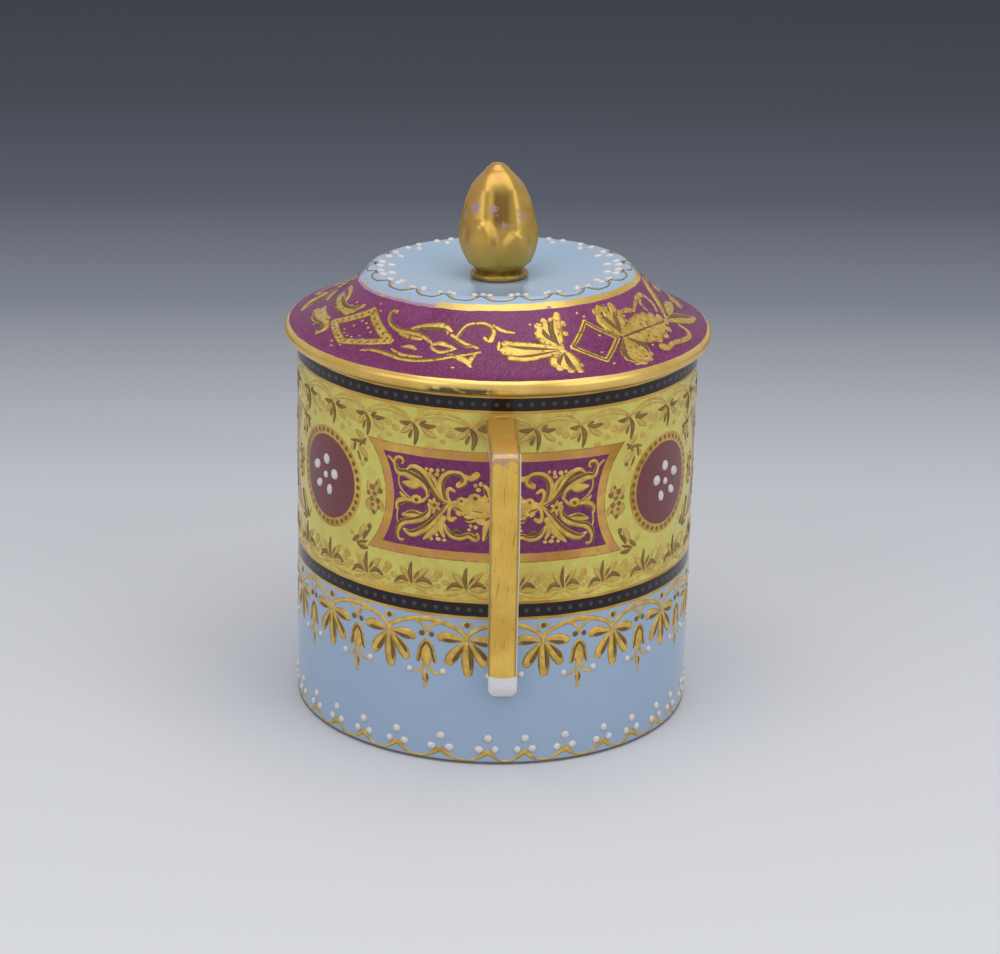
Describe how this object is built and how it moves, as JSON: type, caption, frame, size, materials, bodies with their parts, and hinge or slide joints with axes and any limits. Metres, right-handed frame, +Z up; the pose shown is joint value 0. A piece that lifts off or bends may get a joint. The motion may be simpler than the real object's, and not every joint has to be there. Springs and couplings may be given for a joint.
{
  "type": "chocolate cup",
  "caption": "Covered porcelain chocolate cup: cylindrical body, angular strap handle that sweeps back to a tongue, and a dished cover with a hollow shoulder, rim bead and bud finial.",
  "frame": {"origin": "Centre of the foot ring, on the plane the cup stands on and on the axis the cup was thrown about.", "axes": "+Z up along the throwing axis, the handle towards -Y, +X to the right of the handle seen from the front."},
  "size_m": [0.0742, 0.0907, 0.097],
  "materials": {
    "cup_glaze": "glossy porcelain glaze with painted and gilt bands",
    "lid_glaze": "glossy porcelain glaze with a painted purple shoulder and gilding"
  },
  "bodies": {
    "root": {"cup": "cup_glaze", "lid": "lid_glaze"}
  },
  "joints": []
}
